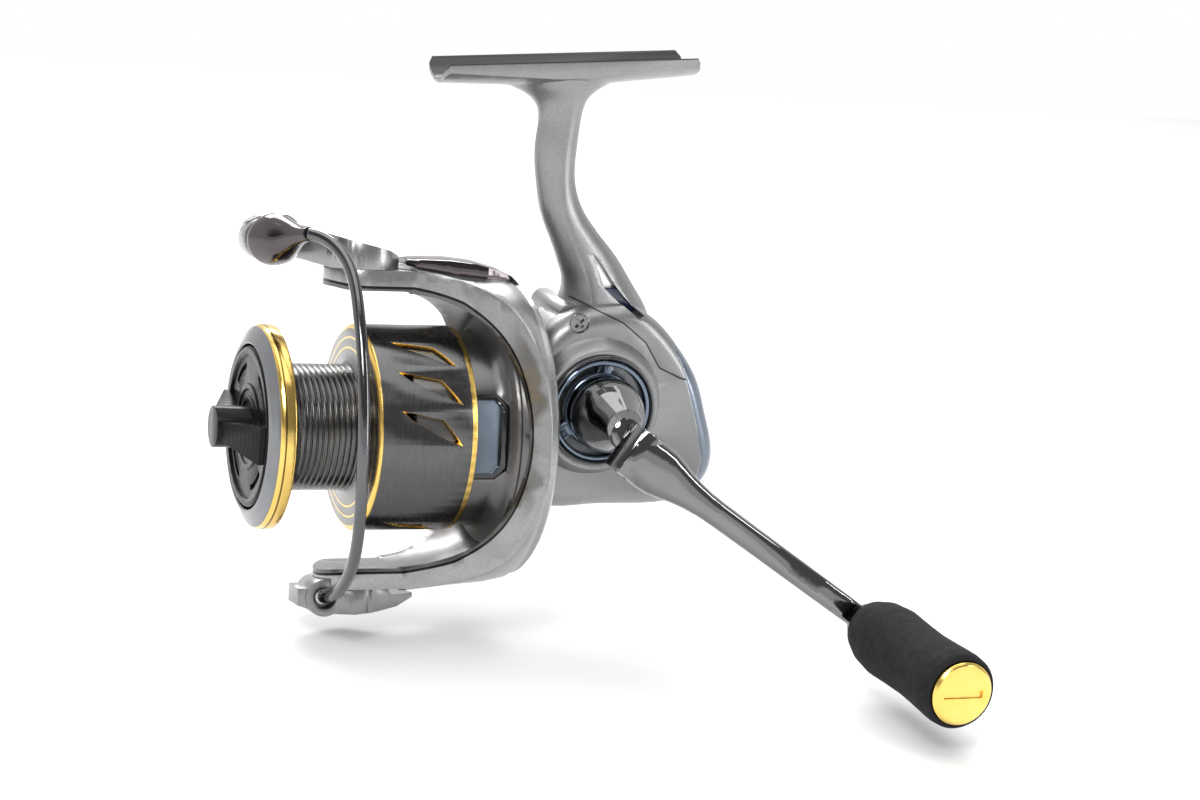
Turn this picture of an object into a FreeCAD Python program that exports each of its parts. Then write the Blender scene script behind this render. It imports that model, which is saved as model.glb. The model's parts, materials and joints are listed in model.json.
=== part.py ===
import FreeCAD, Part
import math
import os

# Spinning reel, millimetres.  +Z is up, towards the rod.  The spool end is -X and the crank handle is on -Y.
# Every piece is drawn in its rest place, then lifted by LIFT so that the origin lies on the centreline of
# the rod in the foot's seat, over the middle of the foot.

V = FreeCAD.Vector
X_DIR, Y_DIR, Z_DIR = V(1, 0, 0), V(0, 1, 0), V(0, 0, 1)
OUT = "parts"

# ---------------------------------------------------------------- driving dimensions
ROD_R = 7.5             # radius of the rod seat in the foot
FOOT_LEN = 57.5
FOOT_HALF_W = 6.4
FOOT_END_R, FOOT_MID_R = ROD_R + 1.0, ROD_R + 2.4       # underside of the foot
FOOT_EDGE_Z = -5.7      # top edges of the foot, as drawn
LIFT = -FOOT_EDGE_Z - math.sqrt(ROD_R ** 2 - FOOT_HALF_W ** 2)
FOOT_TILT = 4.5         # degrees, the foot climbs towards the handle end
SPOOL_Z = -87.3         # height of the spool and rotor axis
CRANK_X = 10.0          # crank axis
CRANK_Z = -79.0
OSC_X = 23.5            # oscillation gear axis
OSC_Z = -84.7
OSC_PIN_R = 7.0         # throw of the oscillation pin: 14 mm of spool stroke
RUN = 0.05              # radial running clearance
SHAFT_R = 1.9           # main shaft
LIP_R = 21.75           # spool lip
ARBOR_R = 13.5
SKIRT_R = 22.1
SKIRT_REAR_X = -19.4
SKIRT_WALL = 0.8
CUP_R = 21.0            # rotor drum inside the spool skirt
RIM_R = 31.8            # rotor rim
ARM_SEAM = 34.0         # height of the rotor arm ends over the spool axis
PIVOT_X = -39.5         # bail pivots
CASE_HALF = 12.5        # half thickness of the gear case
SPLIT_Y = -6.0          # joint face between frame and side cover
SHELL = 2.0             # side walls of the gear case
RIM_WALL = 2.2          # top, bottom and end walls of the gear case
PINION_TEETH, GEAR_TEETH = 8, 40
GEAR_FACE_Y = -2.85     # tips of the drive gear's teeth
GEAR_SLANT = 8.7        # degrees, the face teeth against the radius
GEAR_PHASE = 1.3        # degrees
PINION_PHASE = 33.9     # degrees
PINION_PITCH_R = 2.9
HELIX = -35.0           # pinion helix angle
OSC_SMALL, OSC_LARGE = 13, 33
OSC_REST = 73.4         # degrees, where the oscillation pin rests
ARM_ANGLE = 33.1        # the crank arm points this far below the horizontal at rest
ROTOR_TURN = -9.0       # the rotor rests this far round from upright
KNUCKLE = V(11.3, -34.0, -83.6)      # fold hinge of the crank arm
KNOB_AT = V(63.3, 0, -117.6)         # crank knob axis, parallel to Y
KNOB_Y = -51.4                       # body end of the knob
TONGUE_R = 3.0                       # hinge tongue of the crank hub
ROLLER_AT = V(-60.1, -0.2, 39.5)     # line roller, upright rotor, height over the spool axis
BAIL_R = 1.25

NODES = {}


def put(name, *solids):
    """Keep the solids of one named piece."""
    NODES[name] = solids[0] if len(solids) == 1 else Part.makeCompound(list(solids))


# ---------------------------------------------------------------- shape helpers
def cyl(r, start, end):
    start, end = V(*start), V(*end)
    return Part.makeCylinder(r, (end - start).Length, start, end - start)


def box(x, y, z):
    return Part.makeBox(x[1] - x[0], y[1] - y[0], z[1] - z[0], V(x[0], y[0], z[0]))


def face_of(points):
    return Part.Face(Part.makePolygon([V(*p) for p in points] + [V(*points[0])]))


def smooth_face(points):
    curve = Part.BSplineCurve()
    curve.interpolate([V(*p) for p in points], PeriodicFlag=True)
    return Part.Face(Part.Wire(curve.toShape()))


def turned_x(profile, z=SPOOL_Z):
    """Revolve (x, r) points about the line along X at the given height."""
    return face_of([(x, 0, z + r) for x, r in profile]).revolve(V(0, 0, z), X_DIR, 360)


def turned_y(profile, x=CRANK_X, z=CRANK_Z):
    """Revolve (y, r) points about the line along Y through x, z."""
    return face_of([(x + r, y, z) for y, r in profile]).revolve(V(x, 0, z), Y_DIR, 360)


def turned_z(profile, x, y=0.0):
    """Revolve (z, r) points about the line along Z through x, y."""
    return face_of([(x + r, y, z) for z, r in profile]).revolve(V(x, y, 0), Z_DIR, 360)


def side_plate(points, y_low, y_high, smooth=False):
    """Extrude an (x, z) outline along Y."""
    corners = [(x, y_low, z) for x, z in points]
    face = smooth_face(corners) if smooth else face_of(corners)
    return face.extrude(V(0, y_high - y_low, 0))


def top_plate(points, z_low, z_high, smooth=False):
    """Extrude an (x, y) outline along Z."""
    corners = [(x, y, z_low) for x, y in points]
    face = smooth_face(corners) if smooth else face_of(corners)
    return face.extrude(V(0, 0, z_high - z_low))


def about_spool(shape, degrees):
    copy = shape.copy()
    copy.rotate(V(0, 0, SPOOL_Z), X_DIR, degrees)
    return copy


def about_crank(shape, degrees):
    copy = shape.copy()
    copy.rotate(V(CRANK_X, 0, CRANK_Z), Y_DIR, degrees)
    return copy


def main_solid(shape):
    """The largest solid of a boolean result."""
    return max(shape.Solids, key=lambda solid: solid.Volume)


def fuse(first, *others):
    return main_solid(first.multiFuse(list(others)).removeSplitter())


def swept_round(points, radius):
    """A round bar along a smooth path through the points."""
    curve = Part.BSplineCurve()
    curve.interpolate([V(*p) for p in points])
    path = Part.Wire(curve.toShape())
    start = curve.value(curve.FirstParameter)
    direction = curve.tangent(curve.FirstParameter)[0]
    ring = Part.Wire(Part.makeCircle(radius, start, direction))
    return path.makePipeShell([ring], True, True)


def coil_spring(radius, wire_r, pitch, turns, x, z):
    """Coil along X that starts at x, z."""
    helix = Part.Wire(Part.makeHelix(pitch, pitch * turns, radius).Edges)
    rise = V(0, 2 * math.pi * radius, pitch)
    ring = Part.Wire(Part.makeCircle(wire_r, V(radius, 0, 0), rise))
    coil = helix.makePipeShell([ring], True, True)
    coil.rotate(V(0, 0, 0), Y_DIR, 90)
    coil.translate(V(x, 0, z))
    return coil


def screw_y(x, y_head, z, head_r=2.1, thread_r=1.0, length=9.0, toward=1):
    """Countersunk cross-head screw along Y; the head is at y_head and the thread runs the other way."""
    head = turned_y([(y_head, 0), (y_head, head_r), (y_head + toward * 0.5, head_r),
                     (y_head + toward * 1.6, thread_r), (y_head + toward * length, thread_r),
                     (y_head + toward * length, 0)], x, z)
    slots = []
    for turn in (45, 135):
        bar = box((-1.3, 1.3), (0, 0.7), (-0.3, 0.3))
        bar.rotate(V(0, 0, 0), Y_DIR, turn)
        low = y_head if toward > 0 else y_head - 0.7
        bar.translate(V(x, low, z))
        slots.append(bar)
    return head.cut(slots)


# ---------------------------------------------------------------- frame, foot and gear case
LEG_SECTIONS = [        # height, front x, rear x, half thickness, side crease (0 front, 1 rear)
    (-8.9, -24.0, 15.0, 6.0, 0.60), (-10.6, -17.0, 10.6, 5.8, 0.60), (-12.4, -11.6, 7.8, 5.4, 0.60),
    (-14.2, -7.4, 6.0, 5.0, 0.60), (-17.0, -5.0, 5.0, 4.6, 0.58), (-25.0, -4.8, 4.6, 4.3, 0.55),
    (-31.0, -4.1, 4.8, 4.3, 0.52), (-36.0, -3.0, 6.3, 4.5, 0.46), (-40.0, -1.7, 8.8, 4.8, 0.38),
    (-44.3, 0.4, 12.8, 5.2, 0.31), (-48.6, 2.5, 16.8, 5.8, 0.27), (-53.0, 4.4, 20.0, 6.8, 0.24),
    (-57.4, 4.6, 23.2, 8.2, 0.22), (-61.5, 3.6, 25.5, 9.4, 0.22), (-66.0, 0.6, 26.5, 9.9, 0.24)]
CASE_OUTLINE = [
    (-5.4, -83), (-4.4, -70), (-0.8, -62.6), (5, -58.8), (13, -57.4), (20.0, -58.4), (25.4, -61.9),
    (30.0, -66.7), (34.6, -73.0), (38.2, -82), (40.4, -89.6), (39.9, -94.6), (35.8, -99.6), (28.4, -101.8),
    (12, -102.2), (0, -101.4), (-4.4, -96)]
COVER_OUTLINE = [       # side cover, seen along Y
    (-12, -50), (-2, -54.6), (2.8, -56.2), (7.2, -57.5), (14.7, -60.5), (20.4, -64.8), (24.3, -70.4),
    (29.4, -72.6), (33.0, -73.4), (45, -73.4), (45, -112), (-12, -112)]
REAR_OUTLINE = [        # rear cap
    (26.5, -56), (26.5, -62.5), (29, -68), (31.5, -74), (34.8, -83.5), (36.9, -91), (36.2, -97), (33, -108),
    (60, -108), (60, -56)]
REAR_SKIN = 1.4
WINDOW = [(9.0, -46.8), (12.0, -54.4), (15.4, -54.6)]
INSERT = [(12.0, -54.4), (15.4, -54.6), (20.2, -59.4), (18.6, -59.9)]
RELIEF = [(7.0, -42.6), (30, -42.6), (30, -57.0), (12.4, -57.0)]      # behind the window, far side
FAR_SLOPE = [(-10, -50), (-10, -71), (-3.6, -71), (-1.2, -68.2), (2.6, -65.4), (6.5, -63.6), (10, -60),
             (10, -50)]
FAR_SLOPE_Y = 3.5
NEAR_SCREW = (4.8, -60.9)
FAR_SCREWS = [(34.2, -92.0), (-0.5, -93.5)]
ROD_AT = [(-4.0, -9.9), (4.0, -9.9)]      # guide rods: y, height over the spool axis
ROD_RADIUS = 1.2
ROD_END_X = 35.6
BEARING_R = 7.0
STOPPER_X, STOPPER_R = 4.0, 1.3     # pivot of the anti-reverse lever, along Z


def inset_outline(points, inset):
    """Move every outline point inwards by the same distance."""
    moved = []
    for i, (x, z) in enumerate(points):
        (x0, z0), (x1, z1) = points[i - 1], points[(i + 1) % len(points)]
        length = math.hypot(x1 - x0, z1 - z0)
        moved.append((x + inset * (z1 - z0) / length, z - inset * (x1 - x0) / length))
    return moved


def case_prism(inset, half):
    return side_plate(inset_outline(CASE_OUTLINE, inset), -half, half, smooth=True)


def case_hollow():
    outline = inset_outline(CASE_OUTLINE, RIM_WALL)
    hollow = side_plate(outline, SHELL - CASE_HALF, CASE_HALF - SHELL, smooth=True)
    return hollow.cut(side_plate(inset_outline(FAR_SLOPE, -RIM_WALL), FAR_SLOPE_Y - SHELL, 20))


def case_block(inset, half, edge_r):
    block = case_prism(inset, half)
    rim = [e for e in block.Edges if abs(abs(e.BoundBox.YMin) - half) < 1e-4
           and e.BoundBox.YLength < 1e-4]
    return block.makeFillet(edge_r, rim)


def leg_section(z, front, rear, half, crease):
    """Ring with a round nose and a sharp crease down each side."""
    def at(u, v):
        return V(front + u * (rear - front), v * half, z)
    nose = [at(crease * abs(v) ** 2, v) for v in (1.0, 0.66, 0.0, -0.66, -1.0)]
    back = [at(1 - (1 - crease) * share, v) for share, v in
            ((1.0, -1.0), (0.6, -0.9), (0.2, -0.58), (0.0, 0.0), (0.2, 0.58), (0.6, 0.9), (1.0, 1.0))]
    curves = [Part.BSplineCurve(), Part.BSplineCurve()]
    for curve, points in zip(curves, (nose, back)):
        curve.interpolate(points)
    return Part.Wire([curve.toShape() for curve in curves])


def leg():
    return Part.makeLoft([leg_section(*section) for section in LEG_SECTIONS], True, False)


def foot():
    """Curved shoe under the rod, and the rod-shaped seat to cut."""
    seat_z = -LIFT
    half = FOOT_LEN / 2
    shell = turned_x([(-half, 0), (-half, FOOT_END_R), (-4, FOOT_MID_R), (4, FOOT_MID_R), (half, FOOT_END_R),
                      (half, 0)], seat_z)
    corner = half - 0.9
    wide, narrow = FOOT_HALF_W, FOOT_HALF_W - 0.9
    trim = top_plate([(-half, -narrow), (-corner, -wide), (corner, -wide), (half, -narrow), (half, narrow),
                      (corner, wide), (-corner, wide), (-half, narrow)], -14, FOOT_EDGE_Z)
    shoe = shell.common(trim).cut(cyl(ROD_R, (-40, 0, seat_z), (40, 0, seat_z)))
    seat = cyl(ROD_R, (-40, 0, seat_z), (40, 0, seat_z))
    for piece in (shoe, seat):
        piece.rotate(V(0, 0, seat_z), Y_DIR, -FOOT_TILT)
    return shoe, seat


def front_plate():
    """Round plate behind the rotor, with the pinion bearing seat."""
    return turned_x([(-8.0, 3.4), (-8.0, 25.0), (-5.2, 25.0), (-3.4, 20.0), (-3.4, 5.0),
                     (-7.5, 5.0), (-7.5, 3.4)])


def build_frame():
    outer = case_block(0.0, CASE_HALF, 4.0).cut(side_plate(FAR_SLOPE, FAR_SLOPE_Y, 20))
    core = case_prism(REAR_SKIN, CASE_HALF - REAR_SKIN)
    hollow = case_hollow()
    rear_zone = side_plate(REAR_OUTLINE, -20, 20)
    near_zone = side_plate(COVER_OUTLINE, -30, SPLIT_Y)
    cap = outer.common(rear_zone).cut(core)
    shell = outer.cut(rear_zone).fuse(core.common(rear_zone)).cut(hollow)
    shoe, seat = foot()
    far_boss = turned_y([(9.2, 0), (9.2, 9.0), (12.4, 9.8), (15.6, 9.4), (15.6, 0)])
    bush_ring = cyl(4.5, (6.9, 0, SPOOL_Z), (9.2, 0, SPOOL_Z)).cut(box((6, 10), (-9, -2.2), (-93, -82)))
    rod_block = box((34.4, 37.4), (-6.0, 6.0), (-101.0, -95.7)).common(core)
    bracket = box((6.9, 9.2), (2.0, 11.0), (SPOOL_Z - 4.0, SPOOL_Z + 2.4))
    post = cyl(2.0, (OSC_X, 6.7, OSC_Z), (OSC_X, 11, OSC_Z))
    screw_post = cyl(2.8, (NEAR_SCREW[0], SPLIT_Y, NEAR_SCREW[1]), (NEAR_SCREW[0], 11, NEAR_SCREW[1]))
    frame = shell.fuse([leg().cut(hollow), shoe, front_plate(), far_boss, bush_ring, bracket, post,
                        screw_post, rod_block])
    holes = [seat, side_plate(WINDOW, -15, 15), side_plate(RELIEF, -1.6, 15),
             side_plate(INSERT, -15, -3.0), near_zone.common(outer)]
    holes += [cyl(3.0, (5, 0, SPOOL_Z), (12, 0, SPOOL_Z)), cyl(5.0, (-7.5, 0, SPOOL_Z), (-2.0, 0, SPOOL_Z)),
              cyl(3.4, (-9, 0, SPOOL_Z), (-7, 0, SPOOL_Z)),
              cyl(5.6, (CRANK_X, 9, CRANK_Z), (CRANK_X, 16, CRANK_Z)),
              cyl(BEARING_R, (CRANK_X, 9.8, CRANK_Z), (CRANK_X, 16, CRANK_Z)),
              cyl(8.4, (CRANK_X, 14.0, CRANK_Z), (CRANK_X, 16, CRANK_Z)),
              cyl(1.0, (NEAR_SCREW[0], SPLIT_Y - 1, NEAR_SCREW[1]), (NEAR_SCREW[0], 2.5, NEAR_SCREW[1]))]
    for y, dz in ROD_AT:
        holes.append(cyl(ROD_RADIUS, (-6, y, SPOOL_Z + dz), (ROD_END_X, y, SPOOL_Z + dz)))
    for x, z in FAR_SCREWS:
        holes.append(far_screw(x, z))
        holes.append(cyl(2.1, (x, 12.3, z), (x, 14, z)))
    holes.append(cyl(STOPPER_R + RUN, (STOPPER_X, 0, -106), (STOPPER_X, 0, -99)))
    rear_screw_hole = cyl(0.9, (34, 0, SPOOL_Z), (45, 0, SPOOL_Z))
    put("body_frame", main_solid(frame.cut(holes + [rear_screw_hole])))
    put("leg_insert", side_plate(INSERT, -5.4, -3.0).common(leg()))
    rear_head = cyl(1.9, (39.2, 0, SPOOL_Z), (46, 0, SPOOL_Z))
    put("rear_cover", main_solid(cap.cut([rear_screw_hole, rear_head])))
    put("rear_cover_screw", turned_x([(35.0, 0), (35.0, 0.9), (39.2, 0.9), (39.2, 1.85), (39.7, 1.85),
                                      (39.7, 0)]))
    build_side_cover(outer.cut(hollow), cap, near_zone)


def far_screw(x, z):
    return screw_y(x, 12.3, z, 2.1, 0.98, 10.5, -1)


def build_side_cover(walls, cap, near_zone):
    skin = walls.common(near_zone).cut(cap)
    boss = turned_y([(-9.4, 0), (-9.4, 9.0), (-11.4, 14.8), (-12.5, 15.2), (-16.2, 13.2), (-16.2, 0)])
    posts = [cyl(1.8, (x, -11, z), (x, 10.3, z)) for x, z in FAR_SCREWS]
    cover = skin.fuse([boss.cut(front_plate())] + [post.cut(walls) for post in posts])
    x, z = NEAR_SCREW
    holes = [turned_y([(-9.0, 0), (-9.0, 5.4), (-10.2, 5.4), (-10.2, BEARING_R), (-14.2, BEARING_R),
                       (-14.2, 12.2), (-17, 12.2), (-17, 0)]),
             cyl(2.1, (x, -14, z), (x, -12.0, z)),
             turned_y([(-12.0, 0), (-12.0, 2.1), (-11.5, 2.1), (-10.4, 1.0), (-5, 1.0), (-5, 0)], x, z)]
    holes += [cyl(0.98, (fx, 1, fz), (fx, 11, fz)) for fx, fz in FAR_SCREWS]
    put("side_cover", main_solid(cover.cut(holes)))
    put("boss_ring", turned_y([(-14.2, 11.3), (-14.2, 12.15), (-16.8, 12.15), (-17.1, 11.9), (-17.1, 11.5),
                               (-16.8, 11.3)]))
    cap = turned_y([(-14.2, 10.0), (-14.2, 11.25), (-16.6, 11.25), (-17.0, 10.9), (-17.0, 10.2),
                    (-16.6, 10.0)])
    hub = turned_y([(-14.3, 6.9), (-14.3, 8.3), (-16.2, 8.3), (-16.5, 8.0), (-16.5, 7.2), (-16.2, 6.9)])
    spokes = [about_crank(box((CRANK_X - 1.7, CRANK_X + 1.7), (-16.3, -14.3),
                              (CRANK_Z + 7.8, CRANK_Z + 10.4)), a)
              for a in (0, 120, 240)]
    put("bearing_cap", fuse(cap, hub, *spokes))
    put("case_screws", screw_y(x, -12.0, z, 2.1, 0.98, 13.0),
        *[far_screw(fx, fz) for fx, fz in FAR_SCREWS])


def ball_bearing(start, end, r_in, r_out, axis):
    """Shielded bearing ring: a shallow groove between the races on both faces."""
    low, high = sorted((start, end))
    band_in, band_out = r_in + 0.28 * (r_out - r_in), r_out - 0.25 * (r_out - r_in)
    dip = 0.25
    profile = [(low, r_in), (low, band_in), (low + dip, band_in), (low + dip, band_out), (low, band_out),
               (low, r_out), (high, r_out), (high, band_out), (high - dip, band_out), (high - dip, band_in),
               (high, band_in), (high, r_in)]
    return axis(profile)


def build_body_fittings():
    put("handle_bearing", ball_bearing(-14.2, -10.2, 3.5 + RUN, BEARING_R, turned_y))
    put("far_bearing", ball_bearing(9.8, 13.8, 3.5 + RUN, BEARING_R, turned_y))
    put("far_cap", turned_y([(14.0, 0), (14.0, 8.35), (15.6, 8.35), (16.6, 7.9), (17.2, 6.8), (17.2, 2.0),
                             (16.6, 1.6), (16.6, 0)]))
    put("pinion_bearing", ball_bearing(-7.4, -3.5, 3.0 + RUN, 4.98, turned_x))
    put("pinion_bush", turned_x([(6.9, 2.4 + RUN), (6.9, 3.0), (9.2, 3.0), (9.2, 2.4 + RUN)]))
    clutch = turned_x([(-13.0, 6.2), (-13.0, 11.5), (-8.0, 11.5), (-8.0, 6.2)])
    pads = [about_spool(box((-13.0, -8.0), (-2.3, 2.3), (SPOOL_Z + 5.0, SPOOL_Z + 6.6)), a)
            for a in (0, 72, 144, 216, 288)]
    ring_clear = cyl(5.0, (-14, 0, SPOOL_Z), (-7, 0, SPOOL_Z))
    put("one_way_clutch", fuse(clutch, *pads).cut(ring_clear))
    rods = [cyl(ROD_RADIUS, (-5.6, y, SPOOL_Z + dz), (ROD_END_X, y, SPOOL_Z + dz)) for y, dz in ROD_AT]
    put("guide_rods", *rods)
    build_stopper()


def build_stopper():
    """Anti-reverse lever under the front of the gear case."""
    lever = side_plate([(-2.0, -102.9), (6.6, -103.1), (8.0, -103.9), (7.2, -104.7), (-1.0, -104.3),
                        (-2.4, -103.9)], -2.2, 2.2)
    post = cyl(STOPPER_R, (STOPPER_X, 0, -104.0), (STOPPER_X, 0, -100.4))
    put("stopper_lever", fuse(lever, post))


# ---------------------------------------------------------------- gear train
def spur_gear(teeth, module, x, z, y_low, y_high, bore, turn):
    """Straight-toothed gear about Y with trapezoid teeth."""
    pitch_r = module * teeth / 2
    root_r, tip_r = pitch_r - 1.15 * module, pitch_r + 0.75 * module
    step = 2 * math.pi / teeth
    rim = []
    for i in range(teeth):
        middle = math.radians(turn) + i * step
        for r, share in ((root_r, -0.27), (tip_r, -0.10), (tip_r, 0.10), (root_r, 0.27)):
            a = middle + share * step
            rim.append((x + r * math.cos(a), y_low, z + r * math.sin(a)))
    solid = face_of(rim).extrude(V(0, y_high - y_low, 0))
    return solid.cut(cyl(bore, (x, y_low - 1, z), (x, y_high + 1, z))) if bore else solid


def face_gear_tooth():
    """One slanted tooth on the face of the drive gear."""
    profile = [(-0.42, -0.80), (-0.13, 0.0), (0.13, 0.0), (0.42, -0.80)]
    rib = face_of([(0, y, z) for z, y in profile]).extrude(V(2.5, 0, 0))
    rib.translate(V(-1.25, 0, 0))
    rib.rotate(V(0, 0, 0), Y_DIR, GEAR_SLANT)
    rib.translate(V(CRANK_X - 11.6, GEAR_FACE_Y, CRANK_Z))
    return rib


def drive_gear():
    disc = turned_y([(-6.4, 3.0), (-6.4, 12.2), (-5.9, 12.8), (-3.5, 12.8), (-3.5, 10.3), (-4.8, 9.6),
                     (-4.8, 5.2), (-3.0, 4.8), (-3.0, 3.0)])
    teeth = [about_crank(face_gear_tooth(), 360.0 * i / GEAR_TEETH + GEAR_PHASE) for i in range(GEAR_TEETH)]
    shaft = turned_y([(-16.6, 0), (-16.6, 3.5), (-10.1, 3.5), (-10.1, 4.6), (-6.4, 4.8), (-6.4, 3.6),
                      (-3.0, 3.6), (6.1, 3.6), (9.3, 3.6), (9.3, 3.5), (13.9, 3.5), (13.9, 0)])
    module = 2 * math.hypot(OSC_X - CRANK_X, OSC_Z - CRANK_Z) / (OSC_SMALL + OSC_LARGE)
    line = math.degrees(math.atan2(OSC_Z - CRANK_Z, OSC_X - CRANK_X))
    small = spur_gear(OSC_SMALL, module, CRANK_X, CRANK_Z, 6.2, 9.1, 0, line)
    gear = fuse(disc, shaft, small, *teeth).cut(cyl(2.5, (CRANK_X, -18, CRANK_Z), (CRANK_X, -8.5, CRANK_Z)))
    put("drive_gear", gear)
    large = spur_gear(OSC_LARGE, module, OSC_X, OSC_Z, 6.9, 8.9, 2.0 + RUN, line + 180 + 180.0 / OSC_LARGE)
    rest = math.radians(OSC_REST)
    reach = V(OSC_PIN_R * math.cos(rest), 0, -OSC_PIN_R * math.sin(rest))
    pin = cyl(1.4, (OSC_X + reach.x, 4.55, OSC_Z + reach.z), (OSC_X + reach.x, 7.0, OSC_Z + reach.z))
    put("oscillation_gear", fuse(large, pin))


def pinion():
    """Helical pinion on the tube that carries the rotor."""
    root_r, tip_r = 2.42, 3.35
    front, rear = -0.8, 6.6
    lead = 2 * math.pi * PINION_PITCH_R / math.tan(math.radians(HELIX))
    step = 2 * math.pi / PINION_TEETH
    wires = []
    for k in range(9):
        x = front + (rear - front) * k / 8
        turn = math.radians(PINION_PHASE) + 2 * math.pi * x / lead
        ring = []
        for i in range(PINION_TEETH):
            for r, share in ((root_r, -0.25), (tip_r, -0.09), (tip_r, 0.09), (root_r, 0.25)):
                a = turn + (i + share) * step
                ring.append((x, r * math.cos(a), SPOOL_Z + r * math.sin(a)))
        wires.append(face_of(ring).OuterWire)
    toothed = Part.makeLoft(wires, True, True)
    tube_part = turned_x([(-22.0, 0), (-22.0, 2.75), (-21.7, 3.0), (-1.2, 3.0), (-0.8, 2.42), (-0.8, 0)])
    journal = cyl(2.4, (6.6, 0, SPOOL_Z), (9.6, 0, SPOOL_Z))
    body = tube_part.fuse([toothed, journal])
    return body.cut(cyl(SHAFT_R + RUN, (-23, 0, SPOOL_Z), (11, 0, SPOOL_Z)))


def build_spindle():
    shaft = turned_x([(-66.0, 0), (-66.0, 1.6), (-65.6, SHAFT_R), (27.4, SHAFT_R), (27.4, 0)])
    put("main_shaft", shaft)
    x_low, x_high = 23.0, 27.0
    upper = box((x_low, x_high), (-2.3, 4.4), (SPOOL_Z - 9.0, SPOOL_Z + 12.6))
    lower = box((x_low, x_high - 1.4), (-6.0, 6.0), (SPOOL_Z - 11.6, SPOOL_Z - 8.0))
    x_slot = OSC_X + OSC_PIN_R * math.cos(math.radians(OSC_REST))
    slot = box((x_slot - 1.55, x_slot + 1.55), (2.6, 5.0), (OSC_Z - 8.6, OSC_Z + 8.6))
    holes = [slot, cyl(SHAFT_R, (20, 0, SPOOL_Z), (30, 0, SPOOL_Z))]
    holes += [cyl(ROD_RADIUS + RUN, (20, y, SPOOL_Z + dz), (30, y, SPOOL_Z + dz)) for y, dz in ROD_AT]
    put("slider", fuse(upper, lower).cut(holes))
    put("spool_seat", turned_x([(-46.6, SHAFT_R), (-46.6, 4.6), (-45.4, 4.6), (-44.6, 3.4), (-42.4, 3.2),
                                (-42.4, SHAFT_R)]))
    put("spool_shims", turned_x([(-47.4, SHAFT_R + RUN), (-47.4, 3.9), (-47.1, 3.9),
                                 (-47.1, SHAFT_R + RUN)]),
        turned_x([(-46.95, SHAFT_R + RUN), (-46.95, 3.9), (-46.65, 3.9), (-46.65, SHAFT_R + RUN)]))


# ---------------------------------------------------------------- spool and drag
PORT_RIM = [(-36.9, -11.4), (-26.8, -5.8), (-21.9, 10.0), (-25.3, 6.6), (-33.4, -4.5)]
PORT_HOLE = [(-33.5, -7.4), (-27.2, -5.0), (-24.8, 4.0), (-25.6, 4.9), (-33.2, -5.7)]


def port_cutter(middle):
    """Slanted port with sloping sides; the outlines hold (x, degrees round the skirt) pairs."""
    outlines = []
    for height, outline in ((SKIRT_R - 1.9, PORT_HOLE), (SKIRT_R + 0.15, PORT_RIM)):
        corners = [V(x, -SKIRT_R * math.sin(math.radians(a)), SPOOL_Z + height) for x, a in outline]
        outlines.append(Part.makePolygon(corners + corners[:1]))
    return about_spool(Part.makeLoft(outlines, True, True), middle)


PORT_MIDDLES = [30.9, 53.7, 76.6]


def build_spool():
    grooves = []
    x = -54.4
    while x < -42.8:
        grooves += [(x, ARBOR_R), (x + 0.3, ARBOR_R - 0.28), (x + 0.6, ARBOR_R)]
        x += 1.25
    profile = [(-62.2, 17.4), (-63.2, 17.5), (-63.4, 17.9), (-61.7, 21.25), (-61.7, 20.4), (-58.2, 20.4),
               (-57.6, 19.8), (-55.7, 14.4), (-55.1, ARBOR_R)] + grooves + [
               (-42.2, ARBOR_R), (-41.6, 14.3), (-40.9, 21.3), (-40.3, SKIRT_R), (SKIRT_REAR_X, SKIRT_R),
               (SKIRT_REAR_X, SKIRT_R - SKIRT_WALL), (-38.2, SKIRT_R - SKIRT_WALL), (-38.8, 20.4),
               (-39.4, 12.3),
               (-48.8, 11.4), (-48.8, 4.0), (-52.0, 4.0), (-52.0, 11.7), (-59.6, 11.7), (-59.9, 17.4)]
    spool = turned_x(profile)
    cutters = []
    for third in range(3):
        for middle in PORT_MIDDLES:
            cutters.append(port_cutter(middle + 120 * third))
    put("spool", spool.cut(cutters))
    put("spool_lip_ring", turned_x([(-61.7, 20.4), (-61.7, 21.25), (-60.6, LIP_R), (-58.5, LIP_R - 0.05),
                                    (-58.2, LIP_R - 0.4), (-58.2, 20.4)]))
    put("spool_bush", turned_x([(-52.0, SHAFT_R + RUN), (-52.0, 4.0), (-47.6, 4.0), (-47.6, SHAFT_R + RUN)]))
    teeth = [about_spool(box((-48.8, -47.9), (-0.35, 0.35), (SPOOL_Z + 8.2, SPOOL_Z + 9.2)), 10.0 * i)
             for i in range(36)]
    ring = turned_x([(-48.8, 5.2), (-48.8, 8.4), (-47.9, 8.4), (-47.9, 5.2)])
    put("click_gear", fuse(ring, *teeth))
    build_drag()


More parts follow.
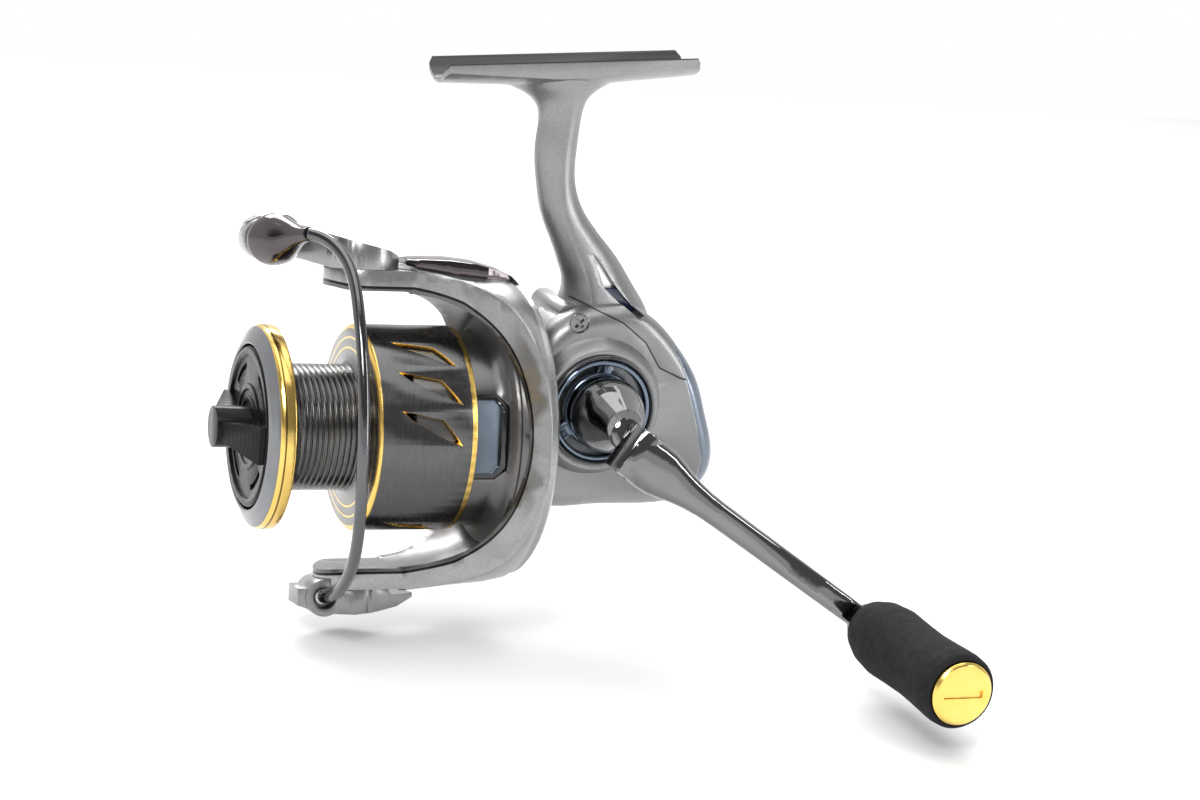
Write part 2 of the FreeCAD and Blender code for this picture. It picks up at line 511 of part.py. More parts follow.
def build_drag():
    def washer(x, r_in, r_out):
        return turned_x([(x, r_in), (x, r_out), (x + 0.8, r_out), (x + 0.8, r_in)])
    put("drag_washers", *[washer(x, 2.3, 11.4) for x in (-52.85, -54.55, -56.25)])
    put("drag_plates", *[washer(x, SHAFT_R + RUN, 11.0) for x in (-53.7, -55.4, -57.1)])
    clip = Part.makeTorus(11.35, 0.32, V(-57.5, 0, SPOOL_Z), X_DIR)
    gap = box((-59, -56), (-1.6, 1.6), (SPOOL_Z - 13, SPOOL_Z))
    put("drag_clip", clip.cut(gap))
    disc = turned_x([(-60.3, 7.0), (-60.3, 16.9), (-63.1, 17.0), (-63.5, 16.6), (-63.5, 15.3), (-62.9, 15.0),
                     (-62.9, 9.2), (-63.3, 9.0), (-63.3, 8.0), (-63.0, 7.7), (-63.0, 6.7), (-63.3, 6.5),
                     (-63.3, 5.5), (-63.0, 5.3), (-63.0, 0), (-61.4, 0), (-61.4, 7.0)])
    grip = top_plate([(-63.2, -15.6), (-64.6, -15.8), (-69.4, -5.0), (-70.6, -2.6), (-70.6, 2.6),
                      (-69.4, 5.0), (-64.6, 15.8), (-63.2, 15.6), (-61.6, 8), (-61.6, -8)],
                     SPOOL_Z - 6, SPOOL_Z + 6)
    waist = face_of([(-75, -17, SPOOL_Z - 4.2), (-75, -3.5, SPOOL_Z - 2.0), (-75, 3.5, SPOOL_Z - 2.0),
                     (-75, 17, SPOOL_Z - 4.2), (-75, 17, SPOOL_Z + 4.2), (-75, 3.5, SPOOL_Z + 2.0),
                     (-75, -3.5, SPOOL_Z + 2.0), (-75, -17, SPOOL_Z + 4.2)]).extrude(V(16, 0, 0))
    hub = cyl(4.4, (-70.6, 0, SPOOL_Z), (-61.6, 0, SPOOL_Z))
    skirt = turned_x([(-61.5, 3.6), (-61.5, 7.2), (-57.6, 7.2), (-57.6, 6.2), (-60.0, 5.6), (-60.0, 3.6)])
    slots = [arc_slot(a) for a in (40, 140, 220, 320)]
    knob = fuse(disc, grip.common(waist), hub, skirt)
    knob = knob.cut([cyl(SHAFT_R + 0.2, (-66.4, 0, SPOOL_Z), (-56, 0, SPOOL_Z))] + slots)
    nut = cyl(3.5, (-65.0, 0, SPOOL_Z), (-62.0, 0, SPOOL_Z)).cut(cyl(SHAFT_R + RUN, (-66, 0, SPOOL_Z),
                                                                   (-61, 0, SPOOL_Z)))
    put("drag_knob", knob.cut(cyl(3.5, (-65.0, 0, SPOOL_Z), (-59.0, 0, SPOOL_Z))))
    put("drag_nut", nut)
    put("drag_spring", coil_spring(2.8, 0.35, 1.3, 3, -61.6, SPOOL_Z))


def arc_slot(middle):
    band = turned_x([(-63.4, 12.4), (-63.4, 13.6), (-62.2, 13.6), (-62.2, 12.4)])
    wedge = face_of([(-65, 0, SPOOL_Z), (-65, -20 * math.sin(math.radians(19)), SPOOL_Z + 20),
                     (-65, 20 * math.sin(math.radians(19)), SPOOL_Z + 20)]).extrude(V(5, 0, 0))
    return about_spool(band.common(wedge), middle)


# ---------------------------------------------------------------- rotor
OUTER_CURVE = [(-47.8, 35.4), (-30, 35.2), (-20, 34.2), (-12, 33.6), (-8, 32.9), (-6.4, RIM_R), (-5.4, 31.9),
               (-4.6, 31.0)]
INNER_CURVE = [(-9.4, 25.4), (-11.0, 25.8), (-13, 26.5), (-16, 27.9), (-20, 28.8), (-25, 29.7), (-30, 30.2),
               (-47.8, 30.4)]
FLANK = [(-30, 8.0), (-26, 8.6), (-22, 10.3), (-18, 13.2), (-14.5, 16.6), (-11.5, 20.8), (-9.2, 25.6),
         (-7.6, 29.6), (-6.0, 33.5)]
SPRING_SLOT_Y = 2.0
SPRING_R = 32.3         # bail spring, height over the spool axis


def upright(shape):
    """Turn a rotor piece from upright to its rest angle."""
    return about_spool(shape, ROTOR_TURN)


def flank_plan():
    """Plan outline of both rotor flanks, with rounded arm ends about the bail pivots."""
    near = V(PIVOT_X, -8.0, 0)
    curve = Part.BSplineCurve()
    curve.interpolate([V(x, -y, 0) for x, y in reversed(FLANK)])
    flank = curve.toShape()
    far = flank.mirror(V(0, 0, 0), Y_DIR)
    tip = Part.Arc(near, V(PIVOT_X - 8.0, 0, 0), V(near.x, -near.y, 0)).toShape()
    top = V(-30, -8.0, 0)
    side = Part.makeLine(top, near)
    side_far = Part.makeLine(V(near.x, -near.y, 0), V(top.x, -top.y, 0))
    start, end = V(-6.0, -33.5, 0), V(-6.0, 33.5, 0)
    back = Part.makePolygon([end, V(-2, 33.5, 0), V(-2, -33.5, 0), start])
    edges = [flank, side, tip, side_far, far] + back.Edges
    return Part.Face(Part.Wire(Part.__sortEdges__(edges)))


def rotor_ring():
    return turned_x(OUTER_CURVE + [(-4.6, 28.8), (-7.0, 27.7), (-8.9, 25.9), (-9.2, 25.6)] + INNER_CURVE)


def build_rotor():
    drum = turned_x([(-32.5, 19.4), (-32.5, CUP_R), (-14.8, CUP_R), (-13.6, 21.3), (-12.5, 22.0),
                     (-11.7, 23.0),
                     (-11.2, 24.3), (-10.6, 24.4), (-10.5, 25.2), (-9.2, 25.7), (-8.7, 25.6), (-9.3, 22.5),
                     (-12.0, 20.0), (-13.8, 18.6), (-13.8, 3.0), (-16.5, 3.0), (-16.5, 17.6), (-18.2, 19.4)])
    plan = flank_plan().extrude(V(0, 0, 90))
    plan.translate(V(0, 0, SPOOL_Z - 45))
    arms = rotor_ring().common(plan)
    above = [box((-60, -29.4), (-12, 12), (SPOOL_Z + ARM_SEAM, SPOOL_Z + 50)),
             box((-60, -29.4), (-12, 12), (SPOOL_Z - 50, SPOOL_Z - ARM_SEAM))]
    below = [box((-60, -31.0), (-12, 12), (SPOOL_Z + 20, SPOOL_Z + 29.6)),
             box((-60, -31.0), (-12, 12), (SPOOL_Z - 29.6, SPOOL_Z - 20))]
    windows = [side_plate([(-24, dz_sign(9.0)), (-14.4, dz_sign(9.0)), (-12.3, dz_sign(6.8)),
                           (-12.3, dz_sign(-6.8)), (-14.4, dz_sign(-9.0)), (-24, dz_sign(-9.0))], y0, y1)
               for y0, y1 in ((-30, -12), (12, 30))]
    pocket = box((-29.0, -14.0), (-SPRING_SLOT_Y, SPRING_SLOT_Y), (SPOOL_Z + 30.8, SPOOL_Z + 40))
    drill = [cyl(1.3, (PIVOT_X, 0, SPOOL_Z - 36), (PIVOT_X, 0, SPOOL_Z - 30.2)),
             cyl(1.3, (PIVOT_X, 0, SPOOL_Z + 30.2), (PIVOT_X, 0, SPOOL_Z + 36))]
    lightening = [about_spool(cyl(3.0, (-18, 0, SPOOL_Z + 11.6), (-12, 0, SPOOL_Z + 11.6)), a)
                  for a in (60, 120, 180, 240, 300, 0)]
    rotor = drum.fuse(arms).cut(above + below + windows + [pocket] + drill + lightening).removeSplitter()
    put("rotor", upright(rotor))
    build_rotor_fittings()


def dz_sign(dz):
    return SPOOL_Z + dz


def build_rotor_fittings():
    inserts = []
    for side in (-1, 1):
        low, high = sorted((side * 20.9, side * 17.8))
        frame = side_plate([(-23.5, dz_sign(8.8)), (-14.5, dz_sign(8.8)), (-12.6, dz_sign(6.7)),
                            (-12.6, dz_sign(-6.7)), (-14.5, dz_sign(-8.8)), (-23.5, dz_sign(-8.8))], low,
                            high)
        low, high = sorted((side * 25, side * 18.6))
        well = side_plate([(-22.5, dz_sign(7.8)), (-15.0, dz_sign(7.8)), (-13.6, dz_sign(6.2)),
                           (-13.6, dz_sign(-6.2)), (-15.0, dz_sign(-7.8)), (-22.5, dz_sign(-7.8))], low,
                           high)
        inside = cyl(17.7, (-30, 0, SPOOL_Z), (-13.9, 0, SPOOL_Z))
        limit = turned_x([(-24, 17.7), (-24, CUP_R - 0.05), (-14.6, CUP_R - 0.05), (-12.4, 21.6),
                          (-12.4, 17.7)])
        inserts.append(upright(frame.cut(well).common(limit).cut(inside)))
    NODES["rotor"] = NODES["rotor"].cut(inserts)
    put("rotor_inserts", *inserts)
    hexagon = [(-19.4, 6.4 * math.cos(math.radians(60 * i)), SPOOL_Z + 6.4 * math.sin(math.radians(60 * i)))
               for i in range(6)]
    nut = face_of(hexagon).extrude(V(2.9, 0, 0)).cut(cyl(3.0, (-20, 0, SPOOL_Z), (-16, 0, SPOOL_Z)))
    put("rotor_nut", nut)
    put("bail_spring", upright(coil_spring(1.1, 0.25, 1.15, 9, -25.6, SPOOL_Z + SPRING_R)))
    rod = fuse(cyl(0.75, (-26.9, 0, SPOOL_Z + SPRING_R), (-14.9, 0, SPOOL_Z + SPRING_R)),
               cyl(1.35, (-27.0, 0, SPOOL_Z + SPRING_R), (-26.1, 0, SPOOL_Z + SPRING_R)))
    put("bail_spring_guide", upright(rod))
    cover_ring = turned_x([(-31.5, 35.4), (-31.2, 36.4), (-28, 37.0), (-22, 37.2), (-16, 36.7), (-11, 35.5),
                           (-7.4, 33.9), (-4.9, 31.9), (-4.7, 31.4), (-6.4, RIM_R), (-8, 32.9), (-12, 33.6),
                           (-20, 34.2), (-28, 35.17)])
    plan = top_plate([(-31.6, -3.5), (-29.0, -6.4), (-22, -7.8), (-14, -8.2), (-8, -6.6), (-4.4, -3.4),
                      (-4.4, 3.4), (-8, 6.6), (-14, 8.2), (-22, 7.8), (-29.0, 6.4), (-31.6, 3.5)],
                     SPOOL_Z + 25, SPOOL_Z + 45)
    cover = cover_ring.common(plan).cut(box((-60, -30.6), (-12, 12), (SPOOL_Z + 25, SPOOL_Z + 50)))
    put("arm_cover", main_solid(upright(cover).cut(NODES["rotor"])))
    screws = []
    for sign in (1, -1):
        profile = [(dz_sign(sign * 30.3), 0), (dz_sign(sign * 30.3), 1.3), (dz_sign(sign * ARM_SEAM), 1.3),
                   (dz_sign(sign * ARM_SEAM), 2.2), (dz_sign(sign * LEVER_TOP), 2.2),
                   (dz_sign(sign * LEVER_TOP), 3.4),
                   (dz_sign(sign * (LEVER_TOP + 0.7)), 3.1), (dz_sign(sign * (LEVER_TOP + 0.7)), 0)]
        low, high = sorted((dz_sign(sign * (LEVER_TOP + 0.3)), dz_sign(sign * (LEVER_TOP + 1.0))))
        slots = [box((PIVOT_X - 1.7, PIVOT_X + 1.7), (-0.35, 0.35), (low, high)),
                 box((PIVOT_X - 0.35, PIVOT_X + 0.35), (-1.7, 1.7), (low, high))]
        screws.append(upright(turned_z(profile, PIVOT_X).cut(slots)))
    put("pivot_screws", *screws)


# ---------------------------------------------------------------- bail
LEVER_TOP = 37.6        # underside of the pivot screw heads, over the spool axis
WIRE_PATH = [           # upright rotor: x, y, height over the spool axis
    (-55.8, -16.2, 41.5), (-52.2, -19.6, 40.0), (-49.4, -25.0, 34.8), (-49.0, -30.4, 26.8),
    (-49.1, -34.6, 18.2),
    (-49.2, -37.4, 5.0), (-48.7, -35.9, -10.0), (-47.7, -31.0, -20.2), (-46.9, -24.6, -27.0),
    (-46.6, -16.0, -32.5), (-46.5, -4.6, -36.0)]


def build_bail():
    pivot_hole = [cyl(2.2 + RUN, (PIVOT_X, 0, dz_sign(s * 33)), (PIVOT_X, 0, dz_sign(s * 45))) for s in (1,
                                                                                                         -1)]
    head_well = [cyl(3.5, (PIVOT_X, 0, dz_sign(s * LEVER_TOP)), (PIVOT_X, 0, dz_sign(s * 46))) for s in (1,
                                                                                                         -1)]
    gap = 0.08
    disc = cyl(8.0, (PIVOT_X, 0, dz_sign(ARM_SEAM + gap)), (PIVOT_X, 0, dz_sign(42.5)))
    roll = V(ROLLER_AT.x, ROLLER_AT.y, ROLLER_AT.z + SPOOL_Z)
    beam = top_plate([(PIVOT_X, -7.4), (-48.0, -2.2), (-55.5, 2.8), (-60.4, 3.1), (-63.6, 5.2), (-63.6, 7.6),
                      (-58.0, 9.0), (-50.0, 8.6), (PIVOT_X, 8.0)], dz_sign(ARM_SEAM + gap), dz_sign(45))
    profile = side_plate([(-31.0, dz_sign(34.05)), (-31.0, dz_sign(36.4)), (-35.3, dz_sign(38.2)),
                          (-44.0, dz_sign(40.2)), (-52.0, dz_sign(42.6)), (-57.5, dz_sign(44.2)),
                          (-61.0, dz_sign(44.3)), (-63.8, dz_sign(42.8)), (-64.4, dz_sign(39.6)),
                          (-62.6, dz_sign(36.6)), (-59.0, dz_sign(35.4)), (-54.0, dz_sign(36.0)),
                          (-48.5, dz_sign(34.6)), (-47.0, dz_sign(34.05))], -14, 14)
    eye = cyl(4.4, (roll.x, 2.6, roll.z), (roll.x, 7.6, roll.z))
    arm = disc.fuse(beam).common(profile).fuse(eye)
    bore = cyl(1.5, (roll.x, -4, roll.z), (roll.x, 6.2, roll.z))
    put("bail_arm", main_solid(upright(arm.cut([bore, pivot_hole[0], head_well[0]]))))
    build_line_roller(roll)
    build_bail_holder(pivot_hole[1], head_well[1], gap)
    wire = upright(swept_round([(x, y, dz_sign(z)) for x, y, z in WIRE_PATH], BAIL_R))
    put("bail_wire", main_solid(wire.cut(NODES["bail_cone"])))
    NODES["bail_holder"] = main_solid(NODES["bail_holder"].cut(NODES["bail_wire"]))


def along(start, end, t):
    return start + (end - start).multiply(t)


def build_line_roller(roll):
    def turned_roller(profile):
        return face_of([(roll.x + r, y, roll.z) for y, r in profile]).revolve(roll, Y_DIR, 360)
    put("line_roller", upright(turned_roller([
        (-1.9, 2.35 + RUN), (-1.9, 3.9), (-1.2, 3.9), (-0.3, 2.95), (0.6, 2.95), (1.6, 3.9), (2.4, 3.9),
        (2.4, 2.35 + RUN)])))
    put("roller_bush", upright(turned_roller([(-2.1, 1.5), (-2.1, 2.35), (2.6, 2.35), (2.6, 1.5)])))
    put("roller_screw", upright(turned_roller([(-4.6, 0), (-4.6, 1.5), (6.2, 1.5), (6.2, 0)])))
    tip = V(*WIRE_PATH[0][:2], dz_sign(WIRE_PATH[0][2]))
    base = V(roll.x, -2.2, roll.z)
    sections = []
    for t, r in ((0.0, 5.0), (0.06, 5.4), (0.16, 5.5), (0.32, 4.9), (0.55, 3.3), (0.78, 2.0), (1.0, 1.45)):
        centre = along(base, tip, t)
        normal = V(0, -1, 0) if t < 0.3 else (tip - base)
        sections.append(Part.Wire(Part.makeCircle(r, centre, normal)))
    cone = Part.makeLoft(sections, True, False)
    cone = cone.cut(cyl(1.5, (roll.x, -4.6, roll.z), (roll.x, 0, roll.z)))
    put("bail_cone", upright(cone))


def build_bail_holder(pivot_hole, head_well, gap):
    disc = cyl(7.4, (PIVOT_X, 0, dz_sign(-ARM_SEAM - gap)), (PIVOT_X, 0, dz_sign(-39.0)))
    beam = top_plate([(-26.0, -2.2), (PIVOT_X + 3, -7.0), (-48.0, -5.2), (-52.0, -3.8), (-52.0, 3.2),
                      (PIVOT_X, 7.2), (-27.0, 3.4)], dz_sign(-42), dz_sign(-ARM_SEAM - gap))
    profile = side_plate([(-25.5, dz_sign(-35.7)), (-25.5, dz_sign(-36.5)), (-30.0, dz_sign(-38.4)),
                          (-40.0, dz_sign(-39.6)), (-47.0, dz_sign(-39.4)), (-52.5, dz_sign(-37.6)),
                          (-52.5, dz_sign(-33.0)), (-47.8, dz_sign(-34.05)), (-32.6, dz_sign(-34.05)),
                          (-31.4, dz_sign(-35.7))], -10, 10)
    x_eye, z_eye = -46.5, dz_sign(-36.0)
    barrel = cyl(4.0, (x_eye, -5.6, z_eye), (x_eye, 3.4, z_eye))
    seat = cyl(2.5, (x_eye, -6.5, z_eye), (x_eye, -2.6, z_eye))
    clear = cyl(8.15, (PIVOT_X, 0, dz_sign(-ARM_SEAM - gap)), (PIVOT_X, 0, dz_sign(-20)))
    holder = fuse(disc.fuse(beam).common(profile), barrel).cut([seat, pivot_hole, head_well, clear])
    put("bail_holder", upright(holder.cut(cyl(0.9, (x_eye, -3, z_eye), (x_eye, 2.4, z_eye)))))
    screw = turned_y([(-4.2, 0), (-4.2, 1.7), (-2.6, 1.7), (-2.6, 0.9), (2.2, 0.9), (2.2, 0)], x_eye, z_eye)
    put("bail_wire_screw", upright(screw))


# ---------------------------------------------------------------- crank handle
def along_arm(s, y, across):
    """Point on the crank arm: s from the fold hinge, across positive is upward."""
    a = math.radians(ARM_ANGLE)
    return V(KNUCKLE.x + s * math.cos(a) + across * math.sin(a), y,
             KNUCKLE.z - s * math.sin(a) + across * math.cos(a))


ARM_STATIONS = [        # from the fold hinge, y, width, depth
    (-2.6, -34.2, 8.8, 7.0), (-1.0, -34.3, 10.4, 8.2), (1.5, -34.5, 11.2, 8.5), (4.0, -34.9, 11.4, 8.4),
    (6.5, -35.5, 11.0, 7.8), (9.0, -36.2, 9.7, 6.9), (11.6, -37.0, 8.1, 6.0), (14.4, -37.8, 6.9, 5.3),
    (17.7, -38.6, 6.0, 4.9), (20.9, -39.3, 5.7, 4.6), (30.7, -40.4, 5.5, 4.2), (39.8, -42.8, 5.4, 3.7),
    (47.9, -46.5, 5.3, 3.1), (55.0, -48.7, 5.2, 2.4), (61.9, -48.8, 5.0, 2.0)]


def arm_section(s, y, width, depth):
    w, d = width / 2, depth / 2
    ring = [(w, 0), (w * 0.8, d * 0.75), (0, d), (-w * 0.8, d * 0.75), (-w, 0),
            (-w * 0.8, -d * 0.75), (0, -d), (w * 0.8, -d * 0.75)]
    curve = Part.BSplineCurve()
    curve.interpolate([along_arm(s, y + dy, across) for across, dy in ring], PeriodicFlag=True)
    return Part.Wire(curve.toShape())


def build_crank():
    hub = turned_y([(-8.7, 0), (-8.7, 2.5), (-16.8, 2.5), (-16.8, 6.6), (-17.5, 7.5), (-19.0, 8.1),
                    (-21.0, 8.1),
                    (-23.0, 7.6), (-25.0, 6.7), (-27.0, 5.6), (-29.0, 4.6), (-30.4, 3.9), (-30.4, 0)])
    a = math.radians(ARM_ANGLE)
    pin_dir = V(math.sin(a), 0, math.cos(a))

    def on_pin(radius, half):
        return Part.makeCylinder(radius, 2 * half, KNUCKLE - pin_dir * half, pin_dir)

    def ring(radius, middle):
        return Part.Wire(Part.makeCircle(radius, middle, Y_DIR))
    def neck(grow):
        return Part.makeLoft([ring(4.2 + grow, V(CRANK_X, -28.0 + grow, CRANK_Z)),
                              ring(3.4 + grow, V(CRANK_X + 0.6, -31.0, CRANK_Z - 2.0)),
                              ring(2.15 + grow, KNUCKLE + V(0, 1.5, 0))], True, True)
    put("crank_hub", fuse(hub, neck(0), on_pin(TONGUE_R, 2.2)).cut(on_pin(1.5, 7)))
    put("hinge_pin", on_pin(1.5, 5.4))
    bar = Part.makeLoft([arm_section(*station) for station in ARM_STATIONS], True, True)
    eye = cyl(4.4, (KNOB_AT.x, KNOB_Y + 1.4, KNOB_AT.z), (KNOB_AT.x, KNOB_Y + 3.6, KNOB_AT.z))
    arm = bar.fuse([on_pin(4.0, 5.2), eye]).cut(on_pin(TONGUE_R + 0.4, 2.35))
    neck_ways = []
    for fold in (0, 9, 18, 26):
        way = neck(0.4)
        way.rotate(KNUCKLE, pin_dir, -fold)
        neck_ways.append(way)
    post_hole = cyl(2.0, (KNOB_AT.x, KNOB_Y - 2, KNOB_AT.z), (KNOB_AT.x, KNOB_Y + 7, KNOB_AT.z))
    put("crank_arm", main_solid(arm.cut([on_pin(1.5 + RUN, 7), post_hole] + neck_ways)))
    build_knob()


def build_knob():
    """Knob pieces; every y is a distance outwards from the knob's body end."""
    def knob_turn(profile):
        return turned_y([(KNOB_Y - out, r) for out, r in profile], KNOB_AT.x, KNOB_AT.z)
    put("knob_post", knob_turn([(-5.2, 0), (-5.2, 2.0), (35.4, 2.0), (35.4, 0)]))
    put("knob_collar", knob_turn([(-1.4, 2.0), (-1.4, 3.6), (-0.4, 3.6), (-0.4, 2.0)]))
    put("knob_bearings",
        *[knob_turn([(out, 2.0 + RUN), (out, 3.9), (out + 2.5, 3.9), (out + 2.5, 2.0 + RUN)])
                           for out in (0.2, 32.4)])
    put("knob_sleeve", knob_turn([(0.1, 3.9), (0.1, 5.0), (37.8, 5.0), (37.8, 3.9), (32.4, 3.9), (32.4, 2.7),
                                  (2.7, 2.7), (2.7, 3.9)]))
    put("knob_grip", knob_turn([(0.0, 5.0), (-0.1, 5.6), (0.8, 6.4), (4.5, 7.5), (9.5, 8.0), (16.0, 7.7),
                                (23.0, 7.5), (30.0, 7.8), (36.0, 8.1), (38.4, 7.9), (39.4, 7.3), (39.6, 6.8),
                                (38.2, 6.8), (38.2, 5.0)]))
    slot = box((KNOB_AT.x - 4.4, KNOB_AT.x + 4.4), (KNOB_Y - 41, KNOB_Y - 39.8),
               (KNOB_AT.z - 0.8, KNOB_AT.z + 0.8))
    cap = knob_turn([(36.4, 0), (36.4, 3.85), (38.2, 3.85), (38.2, 6.7), (39.8, 6.7), (40.4, 6.1),
                     (40.4, 0)])
    put("knob_cap", cap.cut(slot))


def main():
    build_frame()
    build_body_fittings()
    drive_gear()
    put("pinion", pinion())
    build_spindle()
    build_spool()
    build_rotor()
    build_bail()
    build_crank()
    os.makedirs(OUT, exist_ok=True)
    for name, shape in NODES.items():
        shape.translate(V(0, 0, LIFT))
        shape.exportStep(os.path.join(OUT, name + ".step"))


main()
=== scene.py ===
import bpy
import json
import math
from mathutils import Matrix, Vector


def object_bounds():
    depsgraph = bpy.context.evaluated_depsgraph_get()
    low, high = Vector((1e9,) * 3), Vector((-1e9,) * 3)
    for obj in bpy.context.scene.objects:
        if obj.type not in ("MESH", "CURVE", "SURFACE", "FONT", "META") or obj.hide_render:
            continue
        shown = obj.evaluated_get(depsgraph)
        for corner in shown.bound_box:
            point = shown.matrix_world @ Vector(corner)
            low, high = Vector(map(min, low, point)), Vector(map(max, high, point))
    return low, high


# Looks of a spinning reel.  Metres, in the CAD row frame: +Z up, spool end -X, crank on -Y.
MM = 0.001
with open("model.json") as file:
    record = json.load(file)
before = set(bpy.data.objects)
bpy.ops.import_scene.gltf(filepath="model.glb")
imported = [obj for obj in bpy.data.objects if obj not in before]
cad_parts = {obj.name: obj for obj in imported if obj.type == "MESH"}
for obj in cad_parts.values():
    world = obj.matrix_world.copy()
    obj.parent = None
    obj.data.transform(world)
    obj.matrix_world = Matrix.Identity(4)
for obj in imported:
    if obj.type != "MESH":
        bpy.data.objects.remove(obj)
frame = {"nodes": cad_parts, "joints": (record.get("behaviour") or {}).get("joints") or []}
cad_lo, cad_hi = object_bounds()
NODES = frame["nodes"]
JOINTS = {j["name"]: j for j in frame["joints"]}
SPOOL_Z = JOINTS["rotor_spin"]["pos_m"][2]
KNOB = Vector(JOINTS["knob_spin"]["pos_m"])
SEAT_TILT = math.radians(4.5)       # the foot's seat leans back
SEAT_R = 7.5                        # rod seat, mm
ROTOR_LEAN = math.radians(9)        # the rotor's arms stand this far off upright


# ---------------------------------------------------------------- shader helpers
class Paint:
    """One procedural material, built node by node."""

    def __init__(self, name):
        self.material = bpy.data.materials.new(name)
        self.material.use_nodes = True
        self.tree = self.material.node_tree
        self.tree.nodes.clear()
        output = self.tree.nodes.new("ShaderNodeOutputMaterial")
        self.shader = self.tree.nodes.new("ShaderNodeBsdfPrincipled")
        self.tree.links.new(self.shader.outputs[0], output.inputs[0])
        self.coord = self.tree.nodes.new("ShaderNodeTexCoord").outputs["Object"]
        self.xyz = self.node("ShaderNodeSeparateXYZ", Vector=self.coord).outputs

    def node(self, kind, **inputs):
        made = self.tree.nodes.new(kind)
        for key, value in inputs.items():
            self.plug(made.inputs[key], value)
        return made

    def plug(self, socket, value):
        if isinstance(value, bpy.types.NodeSocket):
            self.tree.links.new(value, socket)
        else:
            socket.default_value = value

    def math(self, operation, a, b=0.0):
        """One arithmetic node; a and b are numbers or sockets."""
        made = self.tree.nodes.new("ShaderNodeMath")
        made.operation = operation
        self.plug(made.inputs[0], a)
        self.plug(made.inputs[1], b)
        return made.outputs[0]

    def ramp(self, value, low, high, out_low=0.0, out_high=1.0):
        """Smooth step of value from out_low at low to out_high at high."""
        made = self.tree.nodes.new("ShaderNodeMapRange")
        made.interpolation_type = "SMOOTHSTEP"
        for key, number in (("Value", value), ("From Min", low), ("From Max", high),
                            ("To Min", out_low), ("To Max", out_high)):
            self.plug(made.inputs[key], number)
        return made.outputs[0]

    def band(self, value, low, high, soft):
        """1 between low and high, 0 outside."""
        rise = self.ramp(value, low - soft, low)
        fall = self.ramp(value, high, high + soft, 1.0, 0.0)
        return self.math("MULTIPLY", rise, fall)

    def noise(self, scale, detail=3.0, stretch=None):
        coord = self.coord
        if stretch:
            mapping = self.node("ShaderNodeMapping", Vector=coord)
            mapping.inputs["Scale"].default_value = stretch
            coord = mapping.outputs[0]
        made = self.node("ShaderNodeTexNoise", Vector=coord, Scale=scale, Detail=detail)
        return made.outputs[0]

    def blend(self, factor, a, b):
        """Colour mix; a and b are colours or colour sockets."""
        made = self.tree.nodes.new("ShaderNodeMix")
        made.data_type = "RGBA"
        self.plug(made.inputs[0], factor)
        for socket, value in ((made.inputs[6], a), (made.inputs[7], b)):
            self.plug(socket, value if isinstance(value, bpy.types.NodeSocket) else (*value, 1.0))
        return made.outputs[2]

    def run(self, value, low, high, out_low, out_high):
        """Straight run of value from out_low at low to out_high at high, held beyond both."""
        made = self.tree.nodes.new("ShaderNodeMapRange")
        for key, number in (("Value", value), ("From Min", low), ("From Max", high),
                            ("To Min", out_low), ("To Max", out_high)):
            self.plug(made.inputs[key], number)
        return made.outputs[0]

    def between(self, factor, a, b):
        """Number that runs from a to b with the factor."""
        return self.run(factor, 0.0, 1.0, a, b)

    def bump(self, height, strength, distance):
        made = self.node("ShaderNodeBump", Height=height, Strength=strength, Distance=distance)
        self.plug(self.shader.inputs["Normal"], made.outputs[0])

    def set(self, **inputs):
        names = {"color": "Base Color", "metallic": "Metallic", "roughness": "Roughness",
                 "coat": "Coat Weight", "coat_roughness": "Coat Roughness",
                 "specular": "Specular IOR Level", "anisotropic": "Anisotropic"}
        for key, value in inputs.items():
            if key == "color" and not isinstance(value, bpy.types.NodeSocket):
                value = (*value, 1.0)
            self.plug(self.shader.inputs[names[key]], value)
        return self.material

    def length(self, a, b):
        """Square root of a squared plus b squared."""
        a_squared = self.math("MULTIPLY", a, a)
        b_squared = self.math("MULTIPLY", b, b)
        return self.math("SQRT", self.math("ADD", a_squared, b_squared))

    def spool_radius(self):
        """Distance from the spool's axis, which runs along X."""
        return self.length(self.xyz[1], self.math("SUBTRACT", self.xyz[2], SPOOL_Z))

    def near_path(self, points, half_width):
        """1 within half_width of a broken line drawn in the XZ plane (mm), 0 elsewhere."""
        closest = None
        for (x0, z0), (x1, z1) in zip(points, points[1:]):
            length = math.hypot(x1 - x0, z1 - z0)
            ux, uz = (x1 - x0) / length, (z1 - z0) / length
            x = self.math("SUBTRACT", self.xyz[0], x0 * MM)
            z = self.math("SUBTRACT", self.xyz[2], z0 * MM)
            along = self.math("ADD", self.math("MULTIPLY", x, ux), self.math("MULTIPLY", z, uz))
            inside = self.math("MINIMUM", self.math("MAXIMUM", along, 0.0), length * MM)
            dx = self.math("SUBTRACT", x, self.math("MULTIPLY", inside, ux))
            dz = self.math("SUBTRACT", z, self.math("MULTIPLY", inside, uz))
            gap = self.length(dx, dz)
            closest = gap if closest is None else self.math("MINIMUM", closest, gap)
        line = self.ramp(closest, half_width * MM, half_width * 1.5 * MM, 1.0, 0.0)
        return self.math("MULTIPLY", line, self.math("LESS_THAN", self.xyz[1], -SEAM_DEPTH * MM))

    def knob_radius(self):
        """Distance from the crank knob's axis, which runs along Y."""
        return self.length(self.math("SUBTRACT", self.xyz[0], KNOB.x),
                           self.math("SUBTRACT", self.xyz[2], KNOB.z))


